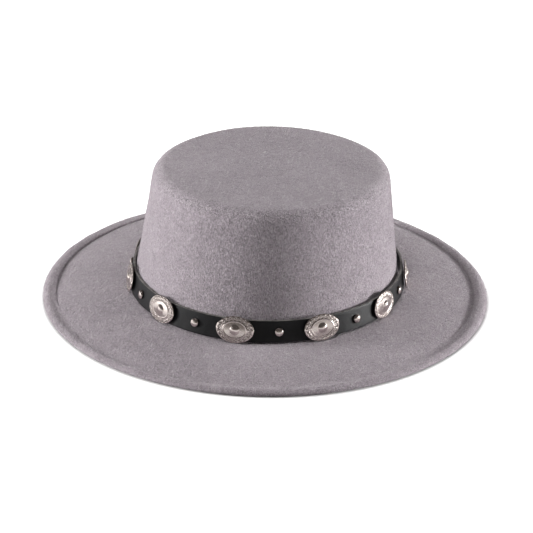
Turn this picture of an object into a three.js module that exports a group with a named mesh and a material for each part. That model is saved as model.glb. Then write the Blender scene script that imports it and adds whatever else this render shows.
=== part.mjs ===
// A gambler hat: one felt body with a flat crown and a folded brim edge,
// and a leather band set with oval medallions and round studs.
// Lengths are in millimetres. +Z is up, the front is towards -Y and the wearer's left is +X.
// The hat rests on z = 0, and the origin is under the middle of its brim.

import * as THREE from 'three';

// Felt
const feltThickness = 2.2;

// Crown: half sizes are of its outer face where it meets the brim
const crownHalfWidth = 87;
const crownHalfLength = 98.6;
const crownHeight = 81;
const crownCornerRadius = 7.3;
const sideTaper = 11.5;
const endTaper = 17.5;
const crownLean = 2.6;
const footRadius = 1.2;

// Brim
const brimWidth = 58.8;
const brimDrop = 6.1;
const hemWidth = 8.8;
const hemThickness = 4.4;
const restWidth = 1.8;

// Band
const bandWidth = 13.7;
const bandThickness = 1.8;
const bandTurn = 22;
const bandEase = 1.2;
const bandShift = 0.6;
const bandLift = 1.1;
const endMargin = 8;
const rampLength = 14;
const clearance = 0.3;

// Trim on the band
const medallionCount = 10;
const medallionWidth = 24.2;
const medallionHeight = 17.2;
const medallionDepth = 2.8;
const medallionRise = 0.6;
const medallionStandoff = 0.7;
const bossRise = 0.25;
const studDiameter = 5.5;
const studDepth = 1.9;
const closingGap = 44.4;

// Facets
const bodySides = 72;
const cornerSteps = 5;
const insideCornerSteps = 3;
const footSteps = 2;
const bandSteps = 96;
const tipSteps = 4;
const medallionSides = 24;
const studSides = 12;

// The folded edge's section, from its crease over the top and round to the face it rests on.
// across is a share of hemWidth from the crease outwards, up is a share of hemThickness above the underside.
const hemSection = [
  { across: 0.03, up: 0.66 },
  { across: 0.12, up: 0.78 },
  { across: 0.36, up: 0.93 },
  { across: 0.64, up: 1.0 },
  { across: 0.86, up: 0.88 },
  { across: 1.0, up: 0.55 },
  { across: 0.98, up: 0.22 },
];

// A medallion's section, from the middle of its dome out to the rim and the back.
// reach is a share of the half width or half height, up is a share of medallionDepth, and boss says
// whether every other point is raised into the border's bosses.
const medallionSection = [
  { reach: 0.14, up: 0.92, boss: false },
  { reach: 0.24, up: 0.7, boss: false },
  { reach: 0.53, up: 0.52, boss: false },
  { reach: 0.6, up: 0.56, boss: false },
  { reach: 0.67, up: 0.42, boss: false },
  { reach: 0.8, up: 0.36, boss: true },
  { reach: 0.97, up: 0.25, boss: false },
  { reach: 1.0, up: 0.0, boss: false },
];

// A stud's section, with the same columns.
const studSection = [
  { reach: 0.6, up: 0.8, boss: false },
  { reach: 1.0, up: 0.22, boss: false },
  { reach: 1.0, up: 0.0, boss: false },
];

// Materials
const felt = new THREE.MeshStandardMaterial({ color: 0x9c939a, roughness: 0.95, metalness: 0 });
const leather = new THREE.MeshStandardMaterial({ color: 0x202022, roughness: 0.45, metalness: 0 });
const nickel = new THREE.MeshStandardMaterial({ color: 0xc9c3bc, roughness: 0.28, metalness: 1 });

const fullTurn = 2 * Math.PI;
const brimLevel = brimDrop + feltThickness;

// Makes one closed surface over a row of rings that all have the same number of points.
// A ring turns left to someone who looks along the row, and a fan round its middle closes each end.
function closedSkin(rings) {
  const count = rings[0].length;
  const points = rings.flat();
  const corners = [];
  for (let row = 0; row + 1 < rings.length; row += 1) {
    for (let i = 0; i < count; i += 1) {
      const here = row * count + i;
      const beside = row * count + ((i + 1) % count);
      corners.push(here, here + count, beside + count);
      corners.push(here, beside + count, beside);
    }
  }
  const lastStart = (rings.length - 1) * count;
  for (const start of [0, lastStart]) {
    const middle = points.length;
    const ring = points.slice(start, start + count);
    points.push(ring.reduce((sum, p) => sum.add(p), new THREE.Vector3()).divideScalar(count));
    for (let i = 0; i < count; i += 1) {
      const here = start + i;
      const beside = start + ((i + 1) % count);
      corners.push(middle, start ? beside : here, start ? here : beside);
    }
  }
  const geometry = new THREE.BufferGeometry().setFromPoints(points);
  geometry.setIndex(corners);
  geometry.computeVertexNormals();
  return geometry;
}

// A point on an oval round the crown. The angle is 0 at the front and grows towards +X, the height is
// above the brim at the crown's foot, and outside is how far out it lies from the crown's outer face.
function ovalPoint(angle, height, outside) {
  const share = Math.max(0, height) / crownHeight;
  const halfWidth = crownHalfWidth + outside - sideTaper * share;
  const halfLength = crownHalfLength + outside - endTaper * share;
  const x = halfWidth * Math.sin(angle) + crownLean * share;
  return new THREE.Vector3(x, -halfLength * Math.cos(angle), brimLevel + height);
}

function ovalRing(station) {
  const ring = [];
  for (let i = 0; i < bodySides; i += 1) {
    ring.push(ovalPoint((i * fullTurn) / bodySides, station.height, station.outside));
  }
  return ring;
}

// The brim's upper face falls away from the crown, faster towards its edge.
function brimHeight(outside) {
  const share = (outside - footRadius) / (brimWidth - footRadius);
  return -brimDrop * share * share;
}

// The turn from the flat top into the wall, a given depth inside the outer face.
function cornerStations(depth, steps) {
  const radius = crownCornerRadius - depth;
  const stations = [];
  for (let i = 0; i <= steps; i += 1) {
    const turn = ((i / steps) * Math.PI) / 2;
    stations.push({
      outside: -crownCornerRadius + radius * Math.sin(turn),
      height: crownHeight - crownCornerRadius + radius * Math.cos(turn),
    });
  }
  return stations;
}

// The turn from the wall out into the brim, a given depth inside the outer face.
function footStations(depth) {
  const radius = footRadius + depth;
  const stations = [];
  for (let i = 0; i <= footSteps; i += 1) {
    const turn = ((i / footSteps) * Math.PI) / 2;
    stations.push({
      outside: footRadius - radius * Math.cos(turn),
      height: footRadius - radius * Math.sin(turn),
    });
  }
  return stations;
}

function brimStations(depth, shares) {
  const crease = brimWidth - hemWidth;
  return shares.map((share) => {
    const outside = footRadius + share * (crease - footRadius);
    return { outside, height: brimHeight(outside) - depth };
  });
}

// The folded edge, and the narrow flat face under it that the hat rests on.
function hemStations() {
  const crease = brimWidth - hemWidth;
  const stations = hemSection.map(({ across, up }) => {
    const outside = crease + across * hemWidth;
    return { outside, height: brimHeight(outside) - feltThickness + up * hemThickness };
  });
  const restOutside = brimWidth - hemThickness / 4;
  stations.push({ outside: restOutside, height: -brimLevel });
  stations.push({ outside: restOutside - restWidth, height: -brimLevel });
  return stations;
}

function feltBody() {
  const stations = [
    ...cornerStations(0, cornerSteps),
    ...footStations(0),
    ...brimStations(0, [0.25, 0.5, 0.75, 1]),
    ...hemStations(),
    ...brimStations(feltThickness, [1, 0.66, 0.33]),
    ...footStations(feltThickness).reverse(),
    ...cornerStations(feltThickness, insideCornerSteps).reverse(),
  ];
  return closedSkin(stations.map(ovalRing));
}

// The band's own line: half way up its outer face, from the front round towards +X. It lies close to the
// crown at the front and the back, and stands off it at the sides, more at +X.
const bandMiddle = bandLift + bandWidth / 2;
const bandShare = bandMiddle / crownHeight;
const bandLine = new THREE.EllipseCurve(
  0,
  0,
  crownHalfWidth + clearance + bandEase + bandThickness - sideTaper * bandShare,
  crownHalfLength + clearance + bandThickness - endTaper * bandShare,
  -Math.PI / 2,
  (3 * Math.PI) / 2,
);
bandLine.arcLengthDivisions = 1440;
const bandLoop = bandLine.getLength();

// The trim is evenly spaced but for the last two studs, which close the lapped ends at the back.
const halfPitch = (bandLoop - closingGap) / (2 * medallionCount);
const lapStart = medallionCount * halfPitch - endMargin;
const bandEnd = bandLoop - lapStart;

// How far the end that lies on top has lifted off the crown, a distance along the band from its middle stud.
function lapLift(distance) {
  const share = THREE.MathUtils.smoothstep(distance, lapStart - rampLength, lapStart);
  return share * (bandThickness + clearance);
}

// A point of the band: outward is 0 on its inner face and bandThickness on its outer face.
function bandPoint(distance, height, outward) {
  const turns = (distance + bandTurn) / bandLoop;
  const angle = bandLine.getUtoTmapping(turns - Math.floor(turns)) * fullTurn;
  const point = ovalPoint(angle, height, clearance + lapLift(distance) + outward);
  point.x += bandEase * Math.sin(angle) + bandShift;
  return point;
}

// Half the band's width, which narrows in a round tip at each end.
function bandHalfWidth(distance) {
  const radius = bandWidth / 2;
  const fromEnd = bandEnd - Math.abs(distance);
  if (fromEnd >= radius) {
    return radius;
  }
  const tipWidth = Math.sqrt(radius * radius - (radius - fromEnd) ** 2);
  return Math.max(tipWidth, radius * 0.3);
}

function hatBand() {
  const radius = bandWidth / 2;
  const distances = [];
  for (let i = 0; i < tipSteps; i += 1) {
    distances.push(radius * (1 - Math.cos(((i / tipSteps) * Math.PI) / 2)) - bandEnd);
  }
  for (let i = 0; i <= bandSteps; i += 1) {
    distances.push((bandEnd - radius) * ((2 * i) / bandSteps - 1));
  }
  for (let i = tipSteps - 1; i >= 0; i -= 1) {
    distances.push(-distances[i]);
  }
  const rings = distances.map((distance) => {
    const low = bandMiddle - bandHalfWidth(distance);
    const high = bandMiddle + bandHalfWidth(distance);
    return [
      bandPoint(distance, low, 0),
      bandPoint(distance, low, bandThickness),
      bandPoint(distance, high, bandThickness),
      bandPoint(distance, high, 0),
    ];
  });
  return closedSkin(rings);
}

// A round or oval piece of trim with its back on z = 0 and its face towards +Z. Where it stands off
// what carries it, its plate is that much higher, on a collar round its shank.
function trimPiece(section, sides, width, height, depth, standoff) {
  const top = { reach: 0.04, up: 1, boss: false };
  const collar = [
    { reach: 0.42, up: 0, boss: false },
    { reach: 0.4, up: -standoff / depth, boss: false },
  ];
  const rows = [top, ...section, ...(standoff ? collar : [])];
  const rings = rows.map(({ reach, up, boss }) => {
    const ring = [];
    for (let i = 0; i < sides; i += 1) {
      const angle = (i * fullTurn) / sides;
      const raised = boss && i % 2 === 0 ? bossRise : 0;
      const x = (width / 2) * reach * Math.cos(angle);
      const y = (height / 2) * reach * Math.sin(angle);
      ring.push(new THREE.Vector3(x, y, standoff + up * depth + raised));
    }
    return ring;
  });
  return closedSkin(rings);
}

// Stands a piece of trim on the band's outer face, square to it and a clearance off it.
function seatOnBand(mesh, distance, height) {
  const step = 0.5;
  const onTail = distance < -lapStart ? distance + bandLoop : distance;
  const at = (along, up) => bandPoint(onTail + along, height + up, bandThickness);
  const along = at(step, 0).sub(at(-step, 0)).normalize();
  const outward = along.clone().cross(at(0, step).sub(at(0, -step))).normalize();
  const upward = outward.clone().cross(along);
  mesh.quaternion.setFromRotationMatrix(new THREE.Matrix4().makeBasis(along, upward, outward));
  mesh.position.copy(at(0, 0)).addScaledVector(outward, clearance);
}

function named(name, geometry, material) {
  const mesh = new THREE.Mesh(geometry, material);
  mesh.name = name;
  return mesh;
}

const hat = new THREE.Group();
hat.add(named('felt_body', feltBody(), felt));
hat.add(named('hat_band', hatBand(), leather));

const trim = new THREE.Group();
for (let i = 0; i < medallionCount; i += 1) {
  const geometry = trimPiece(
    medallionSection,
    medallionSides,
    medallionWidth,
    medallionHeight,
    medallionDepth,
    medallionStandoff,
  );
  const medallion = named(`medallion_${String(i + 1).padStart(2, '0')}`, geometry, nickel);
  seatOnBand(medallion, (2 * i + 1 - medallionCount) * halfPitch, bandMiddle + medallionRise);
  trim.add(medallion);
}
for (let i = 0; i <= medallionCount; i += 1) {
  const geometry = trimPiece(studSection, studSides, studDiameter, studDiameter, studDepth, 0);
  const stud = named(`stud_${String(i + 1).padStart(2, '0')}`, geometry, nickel);
  seatOnBand(stud, (2 * i - medallionCount) * halfPitch, bandMiddle);
  trim.add(stud);
}
hat.add(trim);

export default hat;
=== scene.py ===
"""A grey felt gambler hat with a black leather band that carries oval medallions and studs.

Lengths are in metres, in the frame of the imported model: +Z is up, the front is towards -Y
and the hat rests on z = 0.
"""

import math

import bpy
import numpy as np
from mathutils import Matrix, Vector


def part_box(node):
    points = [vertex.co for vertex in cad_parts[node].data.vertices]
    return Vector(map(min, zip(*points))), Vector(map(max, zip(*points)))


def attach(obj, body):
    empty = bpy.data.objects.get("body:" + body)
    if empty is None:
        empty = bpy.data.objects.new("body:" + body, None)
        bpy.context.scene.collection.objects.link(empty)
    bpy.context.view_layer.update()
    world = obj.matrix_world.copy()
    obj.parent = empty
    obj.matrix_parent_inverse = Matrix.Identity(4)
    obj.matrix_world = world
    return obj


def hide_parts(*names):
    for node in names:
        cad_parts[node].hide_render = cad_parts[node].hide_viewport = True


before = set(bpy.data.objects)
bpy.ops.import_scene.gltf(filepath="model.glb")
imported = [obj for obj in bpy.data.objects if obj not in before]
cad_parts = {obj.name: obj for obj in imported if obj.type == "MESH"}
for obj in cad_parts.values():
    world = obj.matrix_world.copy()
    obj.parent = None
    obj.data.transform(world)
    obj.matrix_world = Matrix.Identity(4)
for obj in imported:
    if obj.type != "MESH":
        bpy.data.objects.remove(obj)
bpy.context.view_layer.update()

mm = 0.001
full_turn = 2 * math.pi

# Felt body, from the frame's outer sizes inwards
_, felt_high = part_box("felt_body")
felt_thickness = 2.2 * mm
brim_width = 58.8 * mm
brim_drop = 6.1 * mm
crown_half_width = felt_high.x - brim_width
crown_half_length = felt_high.y - brim_width
brim_level = brim_drop + felt_thickness
crown_height = felt_high.z - brim_level
crown_corner_radius = 7.3 * mm
side_taper = 11.5 * mm
end_taper = 17.5 * mm
crown_lean = 2.6 * mm
foot_radius = 1.2 * mm
hem_width = 8.8 * mm
hem_thickness = 4.4 * mm
rest_width = 1.8 * mm
crease_depth = 0.5 * mm
crease_width = 0.3 * mm

# How far the felt strays from its block, as a hand-finished hat does
top_wave = 0.35 * mm
wall_wave = 0.45 * mm
brim_wave = 0.45 * mm
hem_wave = 0.25 * mm
shoulder_fullness = 1.1 * mm
shoulder_turn = math.radians(-105)
shoulder_spread = 0.75

# Round the front the folded edge is pressed flatter: the share of its height that is pressed away
# next to the crease and at the crest, and the angles from the front between which that fades out
press_at_crease = 0.95
press_at_crest = 0.45
press_fade = (math.radians(62), math.radians(88))

# Painted highlights on the nap's tufts, and painted shade between them: how far from the crown's
# corner, and how far round from the front
corner_tuft_light_reach = 4 * mm
front_tuft_light_spread = 0.65

# Loose fibres of the nap, which lie close to the felt
fibre_width = 0.09 * mm
fibre_lengths = (0.7 * mm, 1.8 * mm)
fibre_lifts = (math.radians(6), math.radians(38))
fibre_root_depth = 0.04 * mm
fibres_on_top = 20_000
fibres_on_wall = 45_000
fibres_on_brim = 45_000
nap_seed = 7

# Band
band_low, band_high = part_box("hat_band")
band_width = band_high.z - band_low.z
band_lift = band_low.z - brim_level
band_thickness = 1.8 * mm
band_ease = 1.2 * mm
band_shift = 0.6 * mm
band_turn = 22 * mm
band_edge_radius = 0.5 * mm
closing_gap = 44.4 * mm
end_margin = 8 * mm
ramp_length = 14 * mm
clearance = 0.3 * mm

# Trim
medallion_width = 24.2 * mm
medallion_height = 17.2 * mm
medallion_depth = 2.8 * mm
medallion_standoff = 0.7 * mm
boss_sphere_radius = 4.1 * mm
ring_reach = 0.62
ring_width = 0.03
border_units = 18
border_start = (0.68, 0.72)
border_reach = 0.8
arch_radius = 1.12 * mm
arch_line = 0.23 * mm
bar_place = -0.85 * mm
bar_line = 0.2 * mm
dot_radius = 0.4 * mm
stud_diameter = 5.5 * mm
stud_depth = 1.9 * mm
medallion_names = sorted(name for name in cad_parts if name.startswith("medallion"))
stud_names = sorted(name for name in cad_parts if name.startswith("stud"))

# A medallion is darkest where its face lies this far below the same face smoothed so many times
stain_depth = 0.13 * mm
stain_smoothing = 14

# Mesh fineness: how many sides, and how many rows on each stretch of a section
body_sides = 320
top_rows = 20
corner_rows = 12
wall_rows = 26
foot_rows = 4
brim_rows = 24
hem_steps = 4
inside_corner_rows = 6
inside_wall_rows = 14
inside_foot_rows = 5
underside_rows = 14
loop_steps = 2880
band_steps = 400
tip_steps = 10
band_inner_points = 5
band_outer_points = 13
band_edge_points = 5
sides_a_unit = 11
stud_sides = 40
stud_rows = 20
oval_steps = 1440

# Rows on a medallion's face: from and to, as shares of the way to its rim, and how many
face_rows = ((0.03, 0.3, 17), (0.33, 0.54, 8), (0.56, 0.68, 10), (0.695, 1.0, 26))

# Colours, as linear red, green, blue and alpha, from the darkest to the palest of each pair
felt_tones = ((0.125, 0.108, 0.12, 1), (0.358, 0.312, 0.344, 1))
# Painted shade between the nap's tufts
felt_tuft_shade = (0.075, 0.066, 0.072, 1)
# Pale fibres, and painted highlights on the nap's tufts
felt_fleck_and_glint = (0.53, 0.485, 0.51, 1)
# Painted shade in the crease of the folded edge
felt_crease_shade = (0.045, 0.04, 0.043, 1)
sheen_tint = (1, 0.96, 0.98, 1)
fibre_tones = ((0.17, 0.15, 0.163, 1), (0.42, 0.38, 0.405, 1))
leather_tones = ((0.003, 0.003, 0.0034, 1), (0.0075, 0.0073, 0.0078, 1))
# The cut edge: partly its own paler colour, partly a painted highlight
cut_edge_and_highlight_tones = ((0.055, 0.052, 0.05, 1), (0.16, 0.152, 0.145, 1))
metal_tones = ((0.78, 0.69, 0.65, 1), (0.92, 0.83, 0.79, 1))
# Patina in the hollows, and painted shade on the trim's edges and backs
metal_stain_and_shade = (0.05, 0.036, 0.03, 1)
floor_grey = (0.65, 0.65, 0.65, 1)
wall_tones = ((0.23, 0.213, 0.203, 1), (0.87, 0.86, 0.85, 1))
ceiling_tone = (0.07, 0.065, 0.062, 1)
backdrop_white = (0.95, 0.95, 0.95, 1)

# Soft boxes: the place right of, behind and above the hat as the camera sees it, width, height,
# watts, and whether the metal and the leather mirror it
soft_boxes = {
    "soft_box_left": ((-3.0, -0.06, 0.58), 0.93, 1.1, 108, False),
    "soft_box_left_core": ((-3.0, -0.06, 0.58), 0.93, 1.1, 88, True),
    "soft_box_right": ((3.0, 0.27, 0.27), 0.93, 0.48, 32, False),
    "soft_box_right_core": ((3.0, 0.27, 0.27), 0.93, 0.48, 164, True),
    "soft_box_front": ((-0.1, -0.5, 1.58), 0.7, 0.5, 16, False),
}
floor_half_size = 6.0
floor_level = -0.1 * mm
floor_glow = 0.8

# From where to where each of these fades in: the floor's glow, with the brim's edge at 1, and the
# bright side walls and the dim ceiling, by how far the view is turned sideways and upwards
glow_reach = (1.0, 1.022)
wall_reach = (0.58, 0.97)
ceiling_reach = (0.08, 0.36)

# Camera: where the photograph was taken from
camera_elevation = math.radians(23.25)
camera_turn = math.radians(8.0)
camera_roll = math.radians(1.53)
camera_distance = 1.54
camera_aim = Vector((0.0001, 0.0, 0.018))
camera_lens = 158.0
camera_sensor = 36.0
camera_range = (0.05, 50)


def smooth_step(value, low, high):
    """0 below low, 1 above high and a smooth rise between them."""
    share = np.clip((value - low) / (high - low), 0, 1)
    return share * share * (3 - 2 * share)


def bell(value, width):
    """1 at value 0, and falling off on both sides over about width."""
    return np.exp(-((value / width) ** 2))


def wrapped(angles):
    """The same angles, from minus to plus half a turn."""
    return np.angle(np.exp(1j * angles))


def at_front(angles):
    """1 round the front of the hat, where the folded edge is pressed flatter, and 0 at the back."""
    return 1 - smooth_step(np.abs(wrapped(angles)), *press_fade)


def closed_mesh(name, rings):
    """A mesh over rings of points, with a fan over the first ring and over the last.

    rings is shaped (rows, columns, 3).
    """
    rows, columns = rings.shape[:2]
    here = np.arange(rows * columns).reshape(rows, columns)
    beside = np.roll(here, -1, axis=1)
    corners = np.stack([here[:-1], here[1:], beside[1:], beside[:-1]], axis=-1)
    faces = corners.reshape(-1, 4).tolist()
    points = rings.reshape(-1, 3).tolist()
    for ring, flip in ((0, False), (rows - 1, True)):
        middle = len(points)
        points.append(rings[ring].mean(axis=0).tolist())
        for a, b in zip(here[ring], beside[ring]):
            faces.append((middle, b, a) if flip else (middle, a, b))
    mesh = bpy.data.meshes.new(name)
    mesh.from_pydata(points, [], faces)
    mesh.validate()
    mesh.shade_smooth()
    return mesh


def store(mesh, name, values):
    """Keeps one number a point on the mesh, for its material.

    values is shaped (rows, columns). The middle of each fan gets the mean of its ring.
    """
    flat = np.concatenate([values.ravel(), [values[0].mean(), values[-1].mean()]])
    attribute = mesh.attributes.new(name, "FLOAT", "POINT")
    attribute.data.foreach_set("value", flat.astype(np.float32))


def add_piece(name, mesh, material, slot, *nodes):
    """Puts a mesh into the scene as the piece that stands for the given CAD nodes."""
    piece = bpy.data.objects.new(name, mesh)
    bpy.context.scene.collection.objects.link(piece)
    if not mesh.materials:
        mesh.materials.append(material)
    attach(piece, "root")
    if nodes:
        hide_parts(*nodes)
    return piece


def oval_rings(angles, outside, height):
    """Points on ovals round the crown, one ring for each pair of outside and height.

    The angle is 0 at the front and grows towards +X, the height is above the brim at the crown's
    foot, and outside is how far out the ring lies from the crown's outer face.
    """
    outside = np.asarray(outside)[:, None]
    height = np.asarray(height)[:, None]
    share = np.maximum(0, height) / crown_height
    half_width = crown_half_width + outside - side_taper * share
    half_length = crown_half_length + outside - end_taper * share
    x = half_width * np.sin(angles) + crown_lean * share
    y = -half_length * np.cos(angles)
    z = np.broadcast_to(brim_level + height, x.shape)
    return np.stack([x, y, z], axis=-1)


def arc(middle, radius, start, end, steps):
    """Stations on an arc in the section, with start and end measured from straight up, outwards."""
    turns = np.linspace(start, end, steps)
    return [(middle[0] + radius * math.sin(t), middle[1] + radius * math.cos(t)) for t in turns]


def curve_through(points, steps):
    """Stations on a smooth curve through the points, with that many steps between each two."""
    line = np.array([points[0], *points, points[-1]])
    stations = []
    for a, b, c, d in zip(line, line[1:], line[2:], line[3:]):
        square = 2 * a - 5 * b + 4 * c - d
        cube = 3 * b - a - 3 * c + d
        for t in np.arange(steps) / steps:
            along = 2 * b + (c - a) * t + square * t**2 + cube * t**3
            stations.append(tuple(along / 2))
    stations.append(tuple(line[-1]))
    return stations


def brim_height(outside):
    """The brim's upper face falls away from the crown, faster towards its edge."""
    share = (outside - foot_radius) / (brim_width - foot_radius)
    return -brim_drop * share * share


def corner_stations(depth, steps):
    """The turn from the flat top into the wall, a given depth inside the outer face."""
    middle = (-crown_corner_radius, crown_height - crown_corner_radius)
    return arc(middle, crown_corner_radius - depth, 0, math.pi / 2, steps)


def foot_stations(depth, steps):
    """The turn from the wall out into the brim, a given depth inside the outer face."""
    middle = (foot_radius, foot_radius)
    return arc(middle, foot_radius + depth, -math.pi / 2, -math.pi, steps)


def wall_stations(depth, steps):
    """The straight wall between the corner and the foot."""
    heights = np.linspace(crown_height - crown_corner_radius, foot_radius, steps + 2)[1:-1]
    return [(-depth, height) for height in heights]


def brim_stations(depth, steps):
    """The brim from the foot to the crease of its folded edge."""
    outsides = np.linspace(foot_radius, brim_width - hem_width - crease_width, steps + 1)[1:]
    return [(outside, brim_height(outside) - depth) for outside in outsides]


def hem_stations():
    """The crease, the folded edge and the narrow flat face under it that the hat rests on."""
    crease = brim_width - hem_width
    level = brim_height(crease)

    def on_hem(across, up):
        outside = crease + across * hem_width
        return outside, brim_height(outside) - felt_thickness + up * hem_thickness

    groove = [
        (crease - 0.6 * crease_width, level - 0.15 * crease_depth),
        (crease - 0.2 * crease_width, level - 0.75 * crease_depth),
        (crease, level - crease_depth),
        (crease + 0.2 * crease_width, level - 0.6 * crease_depth),
    ]
    roll = [
        on_hem(0.02, 0.6),
        on_hem(0.05, 0.69),
        on_hem(0.12, 0.76),
        on_hem(0.32, 0.87),
        on_hem(0.6, 0.96),
        on_hem(0.85, 0.89),
        on_hem(1.0, 0.55),
        on_hem(0.985, 0.22),
    ]
    rest_outside = brim_width - hem_thickness / 4
    rest = [(rest_outside, -brim_level), (rest_outside - rest_width, -brim_level)]
    return curve_through([*groove, *roll, rest[0]], hem_steps)[1:] + [rest[1]]


def hem_pressing(hem):
    """How far each station of the folded edge goes down where it is pressed flattest.

    It is a share of the station's height above the brim's upper face, so the crease, which lies
    below that face, is filled.
    """
    outside, height = hem.T
    above = height - brim_height(outside)
    above[outside.argmax() + 1:] = 0
    across = (outside - brim_width + hem_width) / hem_width
    towards_crest = smooth_step(across, 0.1, 0.7)
    return above * (press_at_crease + (press_at_crest - press_at_crease) * towards_crest)


def tuft_light_mask(rings, angles, end):
    """How much painted highlight and shade the nap's tufts get: most at the crown's corner and
    round the front.

    None from the row end on, where the crown's outer wall ends.
    """
    corner_height = brim_level + crown_height - 0.45 * crown_corner_radius
    towards_front = bell(wrapped(angles), front_tuft_light_spread)
    at_corner = bell(rings[..., 2] - corner_height, corner_tuft_light_reach) * (0.5 + 0.3 * towards_front)
    painted_tuft_light = np.maximum(at_corner, 0.5 * towards_front)
    painted_tuft_light[:top_rows] *= 0.5
    painted_tuft_light[end:] = 0
    return painted_tuft_light


def felt_rings():
    """One closed skin: over the top, down the wall, over the brim, round its edge and back inside.

    Returns its rings, the painted shade in the crease at each point, the painted highlight and
    shade on the nap's tufts, and the rows where the top, the wall and the brim with its folded edge
    end.
    """
    outer = corner_stations(0, corner_rows) + wall_stations(0, wall_rows)
    outer += foot_stations(0, foot_rows)
    upper = brim_stations(0, brim_rows)
    hem = hem_stations()
    lower = brim_stations(felt_thickness, underside_rows)[::-1]
    inner = foot_stations(felt_thickness, inside_foot_rows)[::-1]
    inner += wall_stations(felt_thickness, inside_wall_rows)[::-1]
    inner += corner_stations(felt_thickness, inside_corner_rows)[::-1]
    stations = np.array(outer + upper + hem + lower + inner)
    angles = np.arange(body_sides) * full_turn / body_sides
    rings = oval_rings(angles, stations[:, 0], stations[:, 1])

    shares = np.linspace(0.05, 0.97, top_rows)[:, None, None]
    top_middle = rings[0].mean(axis=0)
    inside_middle = rings[-1].mean(axis=0)
    top = top_middle + shares * (rings[0] - top_middle)
    inside = inside_middle + shares[::-2] * (rings[-1] - inside_middle)
    rings = np.concatenate([top, rings, inside])

    top_end = len(top) + corner_rows // 2
    wall_end = len(top) + len(outer)
    hem_start = wall_end + len(upper)
    hem_end = hem_start + len(hem)
    groove_row = 2 * hem_steps
    groove = bell(np.arange(len(hem)) - groove_row, 1.8)
    crease = np.zeros(rings.shape[:2])
    # Painted shade in the crease, left out round the front
    crease[hem_start:hem_end] = groove[:, None] * (1 - at_front(angles))
    pressing = hem_pressing(np.array(hem))[:, None] * at_front(angles)
    rings[hem_start:hem_end, :, 2] -= pressing
    painted_tuft_light = tuft_light_mask(rings, angles, wall_end)
    return stray(rings, angles), crease, painted_tuft_light, (top_end, wall_end, hem_end - hem_steps)


def nap_mesh(name, skin, count, random):
    """Loose fibres spread evenly over a skin of rings.

    Each is a slender closed spike on a three-sided foot, rooted in the skin and never below z = 0.
    """
    down = skin[1:] - skin[:-1]
    around = (np.roll(skin, -1, axis=1) - skin)[:-1]
    normal = np.cross(down, around).reshape(-1, 3)
    area = np.linalg.norm(normal, axis=1)
    chosen = random.choice(len(area), count, p=area / area.sum())
    normal = normal[chosen] / area[chosen, None]
    down = down.reshape(-1, 3)[chosen]
    around = around.reshape(-1, 3)[chosen]
    shares = random.random((2, count, 1))
    root = skin[:-1].reshape(-1, 3)[chosen] + shares[0] * down + shares[1] * around
    root -= fibre_root_depth * normal

    down = down / np.linalg.norm(down, axis=1, keepdims=True)
    beside = np.cross(normal, down)
    turn = random.uniform(0, full_turn, (count, 1))
    lift = random.uniform(*fibre_lifts, (count, 1))
    length = random.uniform(*fibre_lengths, (count, 1))
    flat = np.cos(turn) * down + np.sin(turn) * beside
    along = np.cos(lift) * flat + np.sin(lift) * normal
    upright = np.cos(lift) * normal - np.sin(lift) * flat
    sideways = np.cross(along, upright)
    corners = [
        root + fibre_width / 2 * (math.cos(spin) * upright + math.sin(spin) * sideways)
        for spin in np.arange(3) * full_turn / 3
    ]
    tip = root + length * along
    tip[:, 2] = np.maximum(tip[:, 2], 0)
    points = np.stack([*corners, tip], axis=1)
    first = 4 * np.arange(count)[:, None, None]
    faces = first + np.array([(0, 1, 2), (1, 0, 3), (2, 1, 3), (0, 2, 3)])
    mesh = bpy.data.meshes.new(name)
    mesh.from_pydata(points.reshape(-1, 3).tolist(), [], faces.reshape(-1, 3).tolist())
    return mesh


def stray(points, angles):
    """Moves the felt's points a little, as on a hat that was steamed and pressed by hand.

    Each wave is a sum of sines, whose numbers are its turns and its phase.
    """
    x, y, z = (points[..., i] for i in range(3))
    height = z - brim_level
    around = np.broadcast_to(angles, x.shape)
    reach = np.hypot(x / crown_half_width, y / crown_half_length)
    moved = points.copy()

    on_wall = smooth_step(height, 24 * mm, 48 * mm)
    swell = np.sin(3 * around + 0.7) + 0.6 * np.sin(5 * around + 2.1 + 18 * height)
    swell += 0.5 * np.sin(2 * around - 60 * height)
    at_shoulder = bell(wrapped(around - shoulder_turn), shoulder_spread)
    at_shoulder *= bell(height - crown_height + crown_corner_radius, 12 * mm)
    at_shoulder *= smooth_step(reach, 0.5, 0.8)
    outward = wall_wave * on_wall * swell / 2.1 + shoulder_fullness * at_shoulder
    moved[..., 0] += outward * np.sin(around)
    moved[..., 1] -= outward * np.cos(around)

    on_top = smooth_step(height, crown_height - 8 * mm, crown_height - 3 * mm)
    ripple = np.sin(46 * x + 21 * y + 0.4) + 0.8 * np.sin(-33 * x + 58 * y + 1.9)
    ripple += 0.5 * np.sin(95 * x + 74 * y)
    moved[..., 2] += top_wave * on_top * (ripple / 2.3 - 1)

    on_brim = smooth_step(reach, 1.12, 1.5) * smooth_step(z, 0.5 * mm, 3 * mm)
    flutter = np.sin(2 * around + 0.6) + 0.7 * np.sin(3 * around - 0.9)
    flutter += 0.4 * np.sin(7 * around + 1.3)
    moved[..., 2] += brim_wave * on_brim * flutter / 2.1
    on_hem = smooth_step(reach, 1.5, 1.56) * smooth_step(z, 1.5 * mm, 4 * mm)
    lumps = np.sin(17 * around + 1) + np.sin(29 * around + 2.2) + np.sin(41 * around)
    moved[..., 2] += hem_wave * on_hem * (lumps / 3 - 0.6)
    return moved


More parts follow.
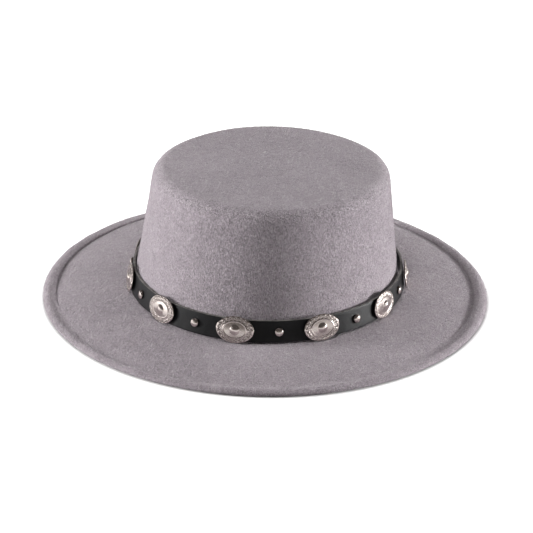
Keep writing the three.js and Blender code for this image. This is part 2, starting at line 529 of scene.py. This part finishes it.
def band_angles():
    """Distances along the band's outer face, from the front towards +X, and their angles."""
    share = (band_lift + band_width / 2) / crown_height
    outside = clearance + band_thickness
    half_width = crown_half_width + band_ease + outside - side_taper * share
    half_length = crown_half_length + outside - end_taper * share
    angles = np.linspace(0, full_turn, loop_steps + 1)
    line = np.stack([half_width * np.sin(angles), -half_length * np.cos(angles)], axis=-1)
    steps = np.linalg.norm(np.diff(line, axis=0), axis=1)
    return np.concatenate([[0], np.cumsum(steps)]), angles


def band_mesh():
    """The strap, lapped at the back, with rounded edges and round tips."""
    lengths, angles = band_angles()
    loop = lengths[-1]
    half_pitch = (loop - closing_gap) / (2 * len(medallion_names))
    lap_start = len(medallion_names) * half_pitch - end_margin
    band_end = loop - lap_start
    radius = band_width / 2
    middle = band_lift + radius

    tip = radius * (1 - np.cos(np.linspace(0, math.pi / 2, tip_steps, endpoint=False))) - band_end
    body = np.linspace(-1, 1, band_steps + 1) * (band_end - radius)
    distances = np.concatenate([tip, body, -tip[::-1]])
    from_end = np.minimum(radius, band_end - np.abs(distances))
    half_widths = np.maximum(np.sqrt(radius**2 - (radius - from_end) ** 2), 0.3 * radius)
    turned = np.interp((distances + band_turn) % loop, lengths, angles)
    lift = smooth_step(distances, lap_start - ramp_length, lap_start) * (band_thickness + clearance)

    rings = []
    edges = []
    for angle, raised, half_width in zip(turned, lift, half_widths):
        height, outward, edge = band_section(half_width)
        ring = oval_rings(np.array([angle]), clearance + raised + outward, middle + height)[:, 0]
        ring[:, 0] += band_ease * math.sin(angle) + band_shift
        rings.append(ring)
        edges.append(edge)
    mesh = closed_mesh("hat_band_dressed", np.array(rings))
    store(mesh, "cut_edge", np.array(edges))
    return mesh


def band_section(half_width):
    """The strap's outline, once round.

    Returns heights from its middle, distances out from its inner face, and 1 where it is cut edge.
    """
    corner = band_edge_radius
    flat = half_width - corner
    quarter = np.linspace(0, math.pi / 2, band_edge_points)
    inner = np.linspace(flat, -flat, band_inner_points)
    outer = np.linspace(-flat, flat, band_outer_points)
    high = band_thickness - corner
    height = np.concatenate([
        inner,
        -flat - corner * np.sin(quarter[1:]),
        -flat - corner * np.cos(quarter[:-1]),
        outer,
        flat + corner * np.sin(quarter[1:]),
        flat + corner * np.cos(quarter[:-1]),
    ])
    outward = np.concatenate([
        np.zeros(len(inner)),
        corner - corner * np.cos(quarter[1:]),
        high + corner * np.sin(quarter[:-1]),
        np.full(len(outer), band_thickness),
        high + corner * np.cos(quarter[1:]),
        corner - corner * np.sin(quarter[:-1]),
    ])
    edge = smooth_step(np.abs(height), flat + 0.6 * corner, flat + 0.9 * corner)
    return height, outward, edge


def even_angles(half_width, half_height, count):
    """Angles that lie evenly along an oval's line, and the length of that line."""
    fine = np.linspace(0, full_turn, oval_steps + 1)
    line = np.stack([half_width * np.cos(fine), half_height * np.sin(fine)], axis=-1)
    length = np.concatenate([[0], np.cumsum(np.linalg.norm(np.diff(line, axis=0), axis=1))])
    return np.interp(np.arange(count) / count * length[-1], length, fine), length[-1]


def medallion_relief(reach, from_middle, along, across):
    """How high a medallion's face stands above its back.

    reach is 0 in the middle and 1 at the rim, from_middle is a distance, and along and across are
    distances from the middle of the nearest unit of the border. The face is a low field with a
    round boss, a ring, a border that falls away, and a rim. Each unit of the border has a dot
    under an arch, and a bar.
    """
    # A cap of a sphere, about 1 in its middle and 0 from its foot outwards
    dome = np.sqrt(np.clip(1 - (from_middle / boss_sphere_radius) ** 2, 0.4, 1)) / 0.37 - 1.71
    field = 0.46 + 0.13 * np.clip(1 - (reach / 0.6) ** 2, 0, 1)
    ring = bell(reach - ring_reach, ring_width)
    step = smooth_step(reach, 0.64, 0.69)
    fall = np.clip((reach - 0.67) / 0.3, 0, 1)
    rim = bell(reach - 0.955, 0.022)
    edge = smooth_step(reach, 0.97, 1.0)
    face = field + 0.42 * dome + 0.08 * ring - 0.05 * step - 0.18 * fall + 0.045 * rim - 0.06 * edge
    height = medallion_standoff + medallion_depth * face

    from_dot = np.hypot(along, across)
    dot = np.sqrt(np.clip(1 - (from_dot / dot_radius) ** 2, 0, 1))
    arch = bell(from_dot - arch_radius, arch_line) * smooth_step(across, -0.5 * mm, 0.0)
    bar = bell(across - bar_place, bar_line)
    bar *= 1 - smooth_step(np.abs(along), 0.6 * mm, 1.0 * mm)
    in_border = smooth_step(reach, *border_start)
    return height + in_border * mm * (0.1 * dot + 0.42 * arch + 0.26 * bar)


def darkened(height, reach, from_middle):
    """How dark a medallion's face is: in the hollows of its border, and a little round its boss."""
    level = height
    for _ in range(stain_smoothing):
        padded = np.concatenate([level[:1], level, level[-1:]])
        beside = np.roll(level, 1, axis=1) + np.roll(level, -1, axis=1)
        level = (padded[:-2] + padded[2:] + beside + 2 * level) / 6
    patina_and_shade = np.clip((level - height) / stain_depth, 0, 1)
    round_boss = smooth_step(from_middle, 2.2 * mm, 3.6 * mm)
    in_field = 1 - smooth_step(reach, 0.6, 0.7)
    patina_and_shade = 0.48 * patina_and_shade * (1 - in_field) + 0.16 * round_boss * in_field
    patina_and_shade *= 1 - 0.8 * bell(reach - ring_reach, ring_width)
    patina_and_shade[-3:] *= 0.4
    return patina_and_shade


def medallion_mesh():
    """An oval medallion with its face towards +Z. Its plate stands off z = 0 on a collar."""
    sides = border_units * sides_a_unit
    half_width = medallion_width / 2
    half_height = medallion_height / 2
    angles, _ = even_angles(0.82 * half_width, 0.82 * half_height, sides)
    unit = np.arange(sides) / sides_a_unit
    phase = unit - np.round(unit)
    reach = np.concatenate([np.linspace(*stretch) for stretch in face_rows])
    reach, phase = np.meshgrid(reach, phase, indexing="ij")
    _, border_length = even_angles(border_reach * half_width, border_reach * half_height, sides)
    along = phase * border_length / border_units
    across = (reach - border_reach) * (half_width + half_height) / 2
    from_middle = reach * np.hypot(half_width * np.cos(angles), half_height * np.sin(angles))
    height = medallion_relief(reach, from_middle, along, across)

    scallop = 1 - 0.009 * smooth_step(reach, 0.85, 1.0) * (0.5 - 0.5 * np.cos(full_turn * phase))
    x = half_width * reach * scallop * np.cos(angles)
    y = half_height * reach * scallop * np.sin(angles)
    face = np.stack([x, y, height], axis=-1)

    plate_edge = medallion_standoff + medallion_depth * np.array([0.12, 0.03, 0])
    side_heights = np.array([*plate_edge, medallion_standoff, 0])
    side_reaches = np.array([1, 0.995, 0.97, 0.42, 0.4])
    side = face[-1:].repeat(len(side_heights), axis=0)
    side[:, :, 2] = side_heights[:, None]
    side[:, :, :2] *= side_reaches[:, None, None]
    mesh = closed_mesh("medallion_dressed", np.concatenate([face, side]))
    patina_and_shade = darkened(height, reach, from_middle)
    # Patina in the face's hollows, and painted shade on the plate's edge and underside
    store(mesh, "patina_and_shade", np.concatenate([patina_and_shade, np.full(side.shape[:2], 0.8)]))
    return mesh


def stud_mesh():
    """A round rivet head, its flat back on z = 0 and its dome towards +Z."""
    turns = np.linspace(0.04, 1, stud_rows) * math.pi / 2
    reach = np.concatenate([np.sin(turns), [1.0, 0.97]])
    height = stud_depth * np.concatenate([0.16 + 0.84 * np.cos(turns) ** 0.8, [0.05, 0.0]])
    # Darker round the dome's foot, and painted shade on the head's edge and back
    patina_and_shade = np.concatenate([smooth_step(turns, 1.4, 1.57), [0.8, 0.8]])
    angles = np.arange(stud_sides) * full_turn / stud_sides
    radius = stud_diameter / 2 * reach[:, None]
    across = np.stack([radius * np.cos(angles), radius * np.sin(angles)], axis=-1)
    upward = np.broadcast_to(height[:, None, None], across.shape[:2] + (1,))
    rings = np.concatenate([across, upward], axis=-1)
    mesh = closed_mesh("stud_dressed", rings)
    store(mesh, "patina_and_shade", np.repeat(patina_and_shade[:, None], stud_sides, axis=1))
    return mesh


def seat(node):
    """Where a piece of trim sits: the middle of its flat back, with axes along, up and outward."""
    points = np.unique(np.round([v.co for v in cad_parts[node].data.vertices], 7), axis=0)
    middle = (points.min(axis=0) + points.max(axis=0)) / 2
    _, axes = np.linalg.eigh(np.cov((points - middle).T))
    outward = Vector(axes[:, 0])
    if outward.dot(Vector((middle[0], middle[1], 0))) < 0:
        outward.negate()
    along = Vector((0, 0, 1)).cross(outward).normalized()
    upward = outward.cross(along)
    reach = points @ np.array(outward)
    flat = points[reach < reach.min() + 0.05 * mm]
    place = Matrix((along, upward, outward)).transposed().to_4x4()
    place.translation = Vector((flat.min(axis=0) + flat.max(axis=0)) / 2)
    return place


def new_material(name):
    """A node material, with its tree and its shader."""
    material = bpy.data.materials.new(name)
    material.use_nodes = True
    tree = material.node_tree
    return material, tree, tree.nodes["Principled BSDF"]


def node(tree, kind, inputs=None, **settings):
    """Adds a node. Each input is a plain value, or the socket that feeds it."""
    made = tree.nodes.new(kind)
    for key, value in settings.items():
        setattr(made, key, value)
    for key, value in (inputs or {}).items():
        if isinstance(value, bpy.types.NodeSocket):
            tree.links.new(value, made.inputs[key])
        else:
            made.inputs[key].default_value = value
    return made


def stretched(tree, scale, turn=(0, 0, 0)):
    """Coordinates in the object's own metres, turned and scaled."""
    place = node(tree, "ShaderNodeTexCoord").outputs["Object"]
    inputs = {"Vector": place, "Rotation": turn, "Scale": scale}
    return node(tree, "ShaderNodeMapping", inputs).outputs[0]


def noise(tree, place, scale, detail=3.0, roughness=0.5, distortion=0.0):
    """Soft noise with that many features a metre."""
    inputs = {"Vector": place, "Scale": scale, "Detail": detail}
    inputs.update({"Roughness": roughness, "Distortion": distortion})
    return node(tree, "ShaderNodeTexNoise", inputs).outputs[0]


def fit(tree, value, low, high, to_low=0.0, to_high=1.0):
    """Stretches the range from low to high over to_low to to_high, and holds it there."""
    inputs = {"Value": value, "From Min": low, "From Max": high}
    inputs.update({"To Min": to_low, "To Max": to_high})
    return node(tree, "ShaderNodeMapRange", inputs).outputs[0]


def maths(tree, operation, first, second):
    """One sum on two values."""
    return node(tree, "ShaderNodeMath", {0: first, 1: second}, operation=operation).outputs[0]


def weighted(tree, *parts):
    """The sum of value times weight over all parts."""
    total = 0.0
    for value, weight in parts:
        inputs = {0: value, 1: weight, 2: total}
        total = node(tree, "ShaderNodeMath", inputs, operation="MULTIPLY_ADD").outputs[0]
    return total


def mixed(tree, factor, first, second):
    """A colour between two others."""
    inputs = {"Factor": factor, 6: first, 7: second}
    return node(tree, "ShaderNodeMix", inputs, data_type="RGBA").outputs[2]


def bumped(tree, height, distance, below=None):
    """A bump of that height, on top of the one below it."""
    inputs = {"Height": height, "Distance": distance, "Strength": 1.0}
    if below:
        inputs["Normal"] = below
    return node(tree, "ShaderNodeBump", inputs).outputs[0]


def kept(tree, name):
    """A number that is kept on the mesh."""
    return node(tree, "ShaderNodeAttribute", attribute_name=name).outputs["Fac"]


def felt_material():
    """Grey wool felt, clouded, with a matted nap, pale fibres, and on the crown tufts with painted
    highlights and painted shade between them.

    Each noise has a scale in features a metre, so the nap is about 1 mm and the grain 0.4 mm.
    """
    material, tree, shader = new_material("felt_grey")
    plain = stretched(tree, (1, 1, 1))
    clouds = noise(tree, plain, 16, 3.0, 0.5, 0.4)
    mottle = noise(tree, plain, 150, 2.0, 0.5, 0.6)
    nap = noise(tree, plain, 850, 1.0, 0.5, 1.3)
    grain = noise(tree, plain, 2400, 2.0, 0.5, 0.5)
    fibres = []
    for turn in ((0.3, 0.5, 0.2), (1.2, -0.4, 1.4), (-0.7, 1.1, 2.5)):
        place = stretched(tree, (1050, 260, 1050), turn)
        fibres.append(fit(tree, noise(tree, place, 1.0, 1.0, 0.5, 1.2), 0.62, 0.74))
    fleck_and_glint = maths(tree, "MAXIMUM", maths(tree, "MAXIMUM", fibres[0], fibres[1]), fibres[2])

    tone = weighted(
        tree,
        (fit(tree, clouds, 0.3, 0.7), 0.18),
        (fit(tree, mottle, 0.3, 0.7), 0.2),
        (fit(tree, nap, 0.32, 0.68), 0.5),
        (fit(tree, grain, 0.3, 0.7), 0.12),
    )
    colour = mixed(tree, tone, *felt_tones)
    tufts = noise(tree, stretched(tree, (1450, 1450, 600)), 1.0, 1.0, 0.5, 0.5)
    # Painted highlights on the tufts and painted shade between them, most round the front and the
    # corner
    upright = maths(tree, "MULTIPLY", fit(tree, tufts, 0.53, 0.66), kept(tree, "painted_tuft_light"))
    tuft_shade = maths(tree, "MULTIPLY", fit(tree, tufts, 0.36, 0.5, 1.0, 0.0), kept(tree, "painted_tuft_light"))
    colour = mixed(tree, tuft_shade, colour, felt_tuft_shade)
    fleck_and_glint = maths(tree, "MAXIMUM", maths(tree, "MULTIPLY", fleck_and_glint, 0.55), upright)
    colour = mixed(tree, fleck_and_glint, colour, felt_fleck_and_glint)
    # Painted shade in the crease
    crease_shade = maths(tree, "MULTIPLY", kept(tree, "crease"), 0.7)
    colour = mixed(tree, crease_shade, colour, felt_crease_shade)
    tree.links.new(colour, shader.inputs["Base Color"])

    normal = bumped(tree, mottle, 0.8 * mm)
    normal = bumped(tree, nap, 1.0 * mm, normal)
    normal = bumped(tree, fleck_and_glint, 0.5 * mm, normal)
    normal = bumped(tree, grain, 0.12 * mm, normal)
    tree.links.new(normal, shader.inputs["Normal"])
    shader.inputs["Roughness"].default_value = 0.95
    shader.inputs["Specular IOR Level"].default_value = 0.15
    shader.inputs["Sheen Weight"].default_value = 0.35
    shader.inputs["Sheen Roughness"].default_value = 0.45
    shader.inputs["Sheen Tint"].default_value = sheen_tint
    return material


def nap_material():
    """The same wool as single fibres, of many tones."""
    material, tree, shader = new_material("felt_fibres")
    tone = fit(tree, noise(tree, stretched(tree, (1, 1, 1)), 900, 2.0), 0.35, 0.65)
    colour = mixed(tree, tone, *fibre_tones)
    tree.links.new(colour, shader.inputs["Base Color"])
    shader.inputs["Roughness"].default_value = 0.8
    shader.inputs["Specular IOR Level"].default_value = 0.25
    return material


def leather_material():
    """Black strap leather with a fine grain, satin from handling, and a paler cut edge, partly its
    own colour and partly a painted highlight.
    """
    material, tree, shader = new_material("band_leather_black")
    plain = stretched(tree, (1, 1, 1))
    cells = {"Vector": plain, "Scale": 850}
    grain = node(tree, "ShaderNodeTexVoronoi", cells, feature="DISTANCE_TO_EDGE")
    pebble = fit(tree, grain.outputs["Distance"], 0.0, 0.25)
    wrinkle = noise(tree, plain, 240, 4.0, 0.6, 0.8)
    wear = noise(tree, plain, 60, 4.0, 0.6)
    edge = kept(tree, "cut_edge")

    face = mixed(tree, fit(tree, wear, 0.35, 0.7), *leather_tones)
    # The cut edge is paler, partly its own colour and partly a painted highlight
    cut_edge_and_highlight = mixed(tree, fit(tree, wrinkle, 0.35, 0.65), *cut_edge_and_highlight_tones)
    tree.links.new(mixed(tree, edge, face, cut_edge_and_highlight), shader.inputs["Base Color"])
    gloss = weighted(tree, (fit(tree, wear, 0.3, 0.7, 0.36, 0.5), 1.0), (edge, 0.2))
    tree.links.new(gloss, shader.inputs["Roughness"])
    normal = bumped(tree, wrinkle, 0.12 * mm)
    normal = bumped(tree, pebble, 0.035 * mm, normal)
    tree.links.new(normal, shader.inputs["Normal"])
    shader.inputs["Specular IOR Level"].default_value = 0.22
    return material


def metal_material():
    """Polished nickel silver, bright on the high places, dark in the hollows of its relief, with
    painted shade on the trim's edges and backs.
    """
    material, tree, shader = new_material("trim_metal_nickel")
    plain = stretched(tree, (1, 1, 1))
    cloud = noise(tree, plain, 190, 4.0, 0.6)
    scuff = noise(tree, stretched(tree, (900, 2600, 900), (0.4, 0.2, 0.9)), 1.0, 3.0, 0.6)
    stained_and_shaded = weighted(tree, (kept(tree, "patina_and_shade"), 1.0), (fit(tree, cloud, 0.35, 0.75), 0.12))
    stain_and_shade = fit(tree, stained_and_shaded, 0.1, 0.62)

    bright = mixed(tree, fit(tree, cloud, 0.3, 0.7), *metal_tones)
    tree.links.new(mixed(tree, stain_and_shade, bright, metal_stain_and_shade), shader.inputs["Base Color"])
    tree.links.new(fit(tree, stain_and_shade, 0.6, 1.0, 1.0, 0.35), shader.inputs["Metallic"])
    gloss = weighted(tree, (fit(tree, scuff, 0.3, 0.7, 0.1, 0.19), 1.0), (stain_and_shade, 0.25))
    tree.links.new(gloss, shader.inputs["Roughness"])
    normal = bumped(tree, cloud, 0.05 * mm)
    normal = bumped(tree, scuff, 0.006 * mm, normal)
    tree.links.new(normal, shader.inputs["Normal"])
    return material


def area_light(name, place, width, height, power, mirrored):
    """A soft box that faces the hat. Its place turns with the camera's side of the hat."""
    place = Matrix.Rotation(camera_turn, 3, "Z") @ Vector(place)
    light = bpy.data.lights.new(name, "AREA")
    light.shape = "RECTANGLE"
    light.size = width
    light.size_y = height
    light.energy = power
    lamp = bpy.data.objects.new(name, light)
    lamp.visible_glossy = mirrored
    lamp.visible_camera = False
    lamp.location = place
    lamp.rotation_euler = (place - camera_aim).to_track_quat("Z", "Y").to_euler()
    bpy.context.scene.collection.objects.link(lamp)


def studio():
    """A pale floor, the soft boxes, and a room with bright side walls and a dim ceiling.

    The floor looks white but for a narrow shadow along the edge of the hat.
    """
    floor_mesh = bpy.data.meshes.new("floor")
    corners = [
        (floor_half_size * x, floor_half_size * y, floor_level)
        for x, y in ((-1, -1), (1, -1), (1, 1), (-1, 1))
    ]
    floor_mesh.from_pydata(corners, [], [(0, 1, 2, 3)])
    material, tree, shader = new_material("floor_pale")
    shader.inputs["Base Color"].default_value = floor_grey
    shader.inputs["Emission Color"].default_value = (1, 1, 1, 1)
    seen = node(tree, "ShaderNodeLightPath").outputs["Is Camera Ray"]
    across = stretched(tree, (1 / felt_high.x, 1 / felt_high.y, 0))
    reach = node(tree, "ShaderNodeVectorMath", {0: across}, operation="LENGTH").outputs["Value"]
    glow = maths(tree, "MULTIPLY", seen, fit(tree, reach, *glow_reach, 0.0, floor_glow))
    tree.links.new(glow, shader.inputs["Emission Strength"])
    shader.inputs["Roughness"].default_value = 0.9
    shader.inputs["Specular IOR Level"].default_value = 0.1
    floor_mesh.materials.append(material)
    floor = bpy.data.objects.new("floor", floor_mesh)
    bpy.context.scene.collection.objects.link(floor)

    for name, settings in soft_boxes.items():
        area_light(name, *settings)

    world = bpy.data.worlds.new("room")
    world.use_nodes = True
    bpy.context.scene.world = world
    tree = world.node_tree
    towards = node(tree, "ShaderNodeTexCoord").outputs["Generated"]
    inputs = {"Vector": towards, "Rotation": (0, 0, -camera_turn)}
    turned = node(tree, "ShaderNodeMapping", inputs).outputs[0]
    parts = node(tree, "ShaderNodeSeparateXYZ", {0: turned}).outputs
    sides = fit(tree, maths(tree, "ABSOLUTE", parts["X"], 0), *wall_reach)
    walls = mixed(tree, sides, *wall_tones)
    room = mixed(tree, fit(tree, parts["Z"], *ceiling_reach), walls, ceiling_tone)
    seen = node(tree, "ShaderNodeLightPath").outputs["Is Camera Ray"]
    colour = mixed(tree, seen, room, backdrop_white)
    tree.links.new(colour, tree.nodes["Background"].inputs["Color"])
    bpy.context.scene.view_settings.view_transform = "Standard"


def camera():
    """The camera, at the photograph's angle and roll."""
    back = Vector((
        math.sin(camera_turn) * math.cos(camera_elevation),
        -math.cos(camera_turn) * math.cos(camera_elevation),
        math.sin(camera_elevation),
    ))
    right = Vector((math.cos(camera_turn), math.sin(camera_turn), 0))
    up = back.cross(right)
    roll = Matrix.Rotation(camera_roll, 3, "Z")
    place = (Matrix((right, up, back)).transposed() @ roll).to_4x4()
    place.translation = camera_aim + back * camera_distance
    lens = bpy.data.cameras.new("camera")
    lens.lens = camera_lens
    lens.sensor_width = camera_sensor
    lens.sensor_fit = "HORIZONTAL"
    lens.clip_start, lens.clip_end = camera_range
    seen_from = bpy.data.objects.new("camera", lens)
    seen_from.matrix_world = place
    bpy.context.scene.collection.objects.link(seen_from)
    bpy.context.scene.camera = seen_from


def hat():
    """The four kinds of piece, each in the place of its CAD nodes."""
    metal = metal_material()
    rings, crease, painted_tuft_light, (top_end, wall_end, brim_end) = felt_rings()
    felt = closed_mesh("felt_body_dressed", rings)
    store(felt, "crease", crease)
    store(felt, "painted_tuft_light", painted_tuft_light)
    add_piece("felt_body_dressed", felt, felt_material(), "felt", "felt_body")
    nap = nap_material()
    random = np.random.default_rng(nap_seed)
    for name, start, end, count in (
        ("felt_nap_top", 0, top_end, fibres_on_top),
        ("felt_nap_wall", top_end, wall_end, fibres_on_wall),
        ("felt_nap_brim", wall_end, brim_end, fibres_on_brim),
    ):
        add_piece(name, nap_mesh(name, rings[start:end + 1], count, random), nap, "felt")
    add_piece("hat_band_dressed", band_mesh(), leather_material(), "band_leather", "hat_band")
    for names, mesh in ((medallion_names, medallion_mesh()), (stud_names, stud_mesh())):
        for name in names:
            piece = add_piece(name + "_dressed", mesh, metal, "trim_metal", name)
            piece.matrix_world = seat(name)


hat()
studio()
camera()
